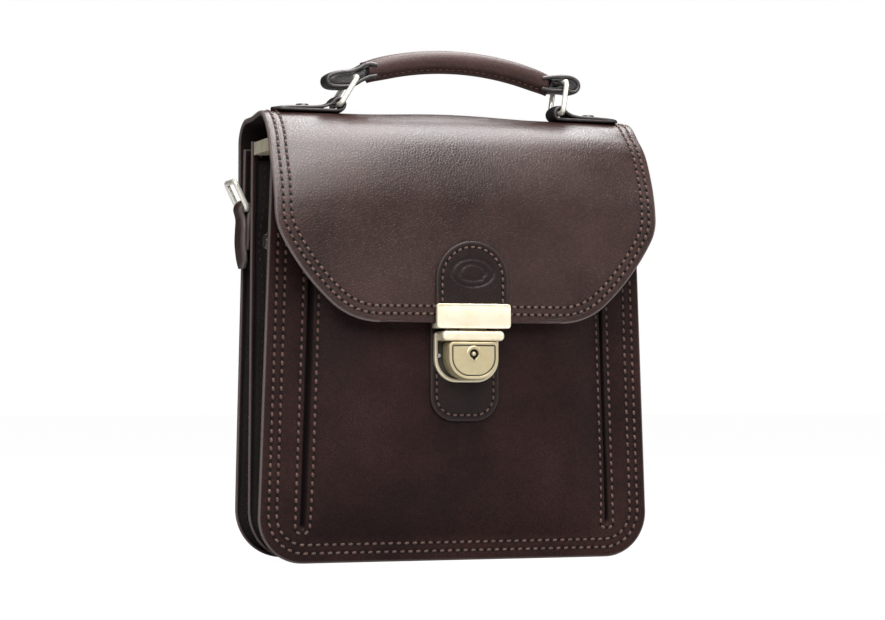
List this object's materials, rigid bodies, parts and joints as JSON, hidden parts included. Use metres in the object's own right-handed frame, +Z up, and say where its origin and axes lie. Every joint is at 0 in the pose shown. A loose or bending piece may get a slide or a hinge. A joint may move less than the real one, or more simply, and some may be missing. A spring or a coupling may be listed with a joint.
{
  "type": "satchel bag",
  "caption": "Small leather flap-over satchel with a top handle on rings, a tongue lock with a sliding thumb piece, side strap rings and two gusseted compartments.",
  "frame": {"origin": "on the floor, under the middle of the bag's box", "axes": "+Z up, front with the lock towards -Y, +X to the right of someone facing the front"},
  "size_m": [0.2386, 0.086, 0.2855],
  "materials": {
    "leather": "satin",
    "gusset_leather": "matte",
    "lining": "matte",
    "brass": "satin",
    "ring_metal": "polished",
    "steel": "satin",
    "dark_rivet": "gloss",
    "core": "matte"
  },
  "bodies": {
    "case": {"back_panel": "leather", "back_lining": "lining", "divider_panel": "leather", "divider_lining": "lining", "rear_gusset": "gusset_leather", "front_gusset": "gusset_leather", "front_panel": "leather", "slit_welts": "gusset_leather", "pocket_back": "lining", "flap_crown": "leather", "crown_lining": "lining", "lower_lock_patch": "leather", "lock_base": "brass", "lock_collar": "brass", "catch_plate": "brass", "lock_backplate": "steel", "lock_rivets": "brass", "lock_springs": "steel", "handle_strap_left": "leather", "handle_strap_right": "leather", "handle_plate": "steel", "strap_rivets": "dark_rivet", "side_tab_left": "leather", "side_tab_right": "leather", "side_rivets": "dark_rivet", "gusset_snaps": "dark_rivet", "zip_tapes": "lining", "zip_teeth_front": "brass", "zip_teeth_rear": "brass", "zip_end_caps": "brass"},
    "flap": {"flap_leaf": "leather", "flap_lining": "lining", "upper_lock_patch": "leather", "hasp_plate": "brass", "hasp_backplate": "brass", "hasp_rivets": "brass", "striker": "brass"},
    "thumb": {"thumb_piece": "brass", "thumb_keeper": "brass", "latch_arm": "brass"},
    "key_barrel": {"lock_cylinder": "brass", "lock_cam": "brass"},
    "ring_left": {"ring_left": "ring_metal"},
    "ring_right": {"ring_right": "ring_metal"},
    "handle": {"grip_cover": "leather", "grip_rope": "core", "handle_loop_left": "leather", "handle_loop_right": "leather"},
    "side_ring_left": {"side_ring_left": "ring_metal"},
    "side_ring_right": {"side_ring_right": "ring_metal"},
    "zip_slider": {"zip_slider": "brass"},
    "zip_pull": {"zip_pull": "brass"}
  },
  "joints": [
    {"name": "flap_hinge", "type": "hinge", "parent": "case", "child": "flap", "pos_m": [0, -0.02066, 0.23968], "axis": [-1, 0, 0], "range_deg": [0, 150]},
    {"name": "thumb_slide", "type": "slide", "parent": "case", "child": "thumb", "axis": [0, 0, -1], "range_m": [0, 0.0025], "stiffness_N_per_m": 400, "springref_m": -0.004, "deforming": ["lock_springs"]},
    {"name": "key_turn", "type": "hinge", "parent": "thumb", "child": "key_barrel", "pos_m": [0, -0.037, 0.1139], "axis": [0, -1, 0], "range_deg": [0, 90]},
    {"name": "ring_left_swing", "type": "hinge", "parent": "case", "child": "ring_left", "pos_m": [-0.066, 0, 0.252], "axis": [0, 1, 0], "range_deg": [-40, 0]},
    {"name": "handle_swing", "type": "hinge", "parent": "ring_left", "child": "handle", "pos_m": [-0.05646, 0, 0.26726], "axis": [0, 1, 0], "range_deg": [0, 43]},
    {"name": "ring_right_swing", "type": "hinge", "parent": "case", "child": "ring_right", "pos_m": [0.066, 0, 0.252], "axis": [0, 1, 0], "range_deg": [-40, 0]},
    {"name": "side_ring_left_swing", "type": "hinge", "parent": "case", "child": "side_ring_left", "pos_m": [-0.1104, 0.0315, 0.195], "axis": [0, -1, 0], "range_deg": [-24, 100]},
    {"name": "side_ring_right_swing", "type": "hinge", "parent": "case", "child": "side_ring_right", "pos_m": [0.1104, 0.0315, 0.195], "axis": [0, 1, 0], "range_deg": [-24, 100]},
    {"name": "zip_slide", "type": "slide", "parent": "case", "child": "zip_slider", "axis": [1, 0, 0], "range_m": [0, 0.174]},
    {"name": "zip_pull_lift", "type": "hinge", "parent": "zip_slider", "child": "zip_pull", "pos_m": [-0.092, 0.006, 0.2331], "axis": [0, -1, 0], "range_deg": [0, 20]}
  ],
  "couplings": [
    {"joint": "handle_swing", "follows": "ring_left_swing", "ratio": -1.0575},
    {"joint": "ring_right_swing", "follows": "ring_left_swing", "ratio": 0.97}
  ]
}
